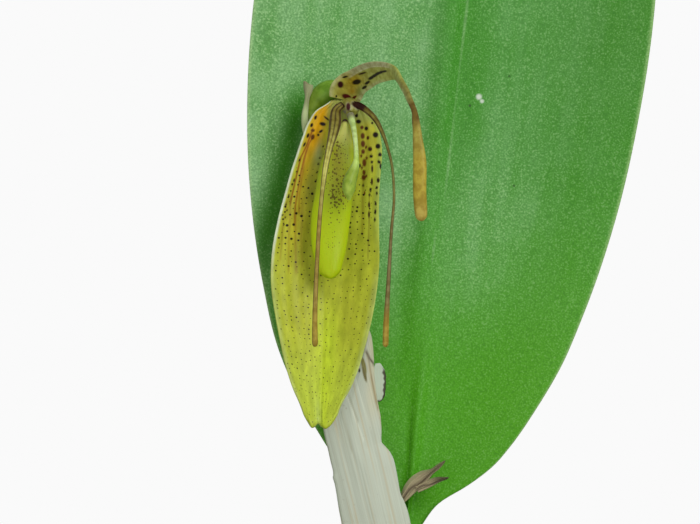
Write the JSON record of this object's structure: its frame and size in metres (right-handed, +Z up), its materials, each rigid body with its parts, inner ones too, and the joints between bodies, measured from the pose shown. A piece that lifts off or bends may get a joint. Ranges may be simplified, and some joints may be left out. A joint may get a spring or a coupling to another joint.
{
  "type": "potted orchid",
  "caption": "Small tufted orchid in a plain round clay pot, with spoon-shaped leathery leaves on sheathed stems and a spotted hanging flower in front of a leaf.",
  "frame": {"origin": "centre of the clay pot's flat underside, between its drain holes", "axes": "+Z up, along the part's longest extent; the flower and the face of the leaf behind it look towards -Y; +X is to the right in the picture"},
  "size_m": [0.101, 0.0727, 0.1827],
  "materials": {
    "terracotta": "matt unglazed clay",
    "bark_mix": "rough bark chips",
    "moss": "soft, matt",
    "root": "matt, pale",
    "stem": "smooth, satin",
    "sheath": "papery, matt",
    "leaf": "leathery, satin",
    "young_leaf": "smooth, satin",
    "flower_stalk": "smooth, satin",
    "dry_bract": "papery, matt",
    "sepal": "fleshy, satin",
    "petal": "fleshy, satin",
    "lip": "fleshy, satin",
    "column": "waxy, translucent"
  },
  "bodies": {
    "root": {"pot": "terracotta", "potting_mix": "bark_mix", "moss_front": "moss", "moss_side": "moss", "rhizome_roots": "root", "ramicaul_1": "stem", "ramicaul_2": "stem", "ramicaul_3": "stem", "ramicaul_4": "stem", "ramicaul_5": "stem", "ramicaul_6": "stem", "ramicaul_7": "stem", "ramicaul_8": "stem", "sheaths_1": "sheath", "sheaths_2": "sheath", "sheaths_3": "sheath", "sheaths_4": "sheath", "sheaths_5": "sheath", "sheaths_6": "sheath", "sheaths_7": "sheath", "sheaths_8": "sheath", "leaf_1": "leaf", "leaf_2": "leaf", "leaf_3": "leaf", "leaf_4": "leaf", "leaf_5": "leaf", "leaf_6": "leaf", "leaf_7": "leaf", "leaf_8": "leaf", "young_sheaths": "sheath", "young_leaf": "young_leaf", "peduncle": "flower_stalk", "ovary": "flower_stalk", "floral_bract": "dry_bract", "dry_spathe": "dry_bract", "synsepal": "sepal", "dorsal_sepal": "sepal", "petal_left": "petal", "petal_right": "petal", "lip": "lip", "column": "column"}
  },
  "joints": []
}
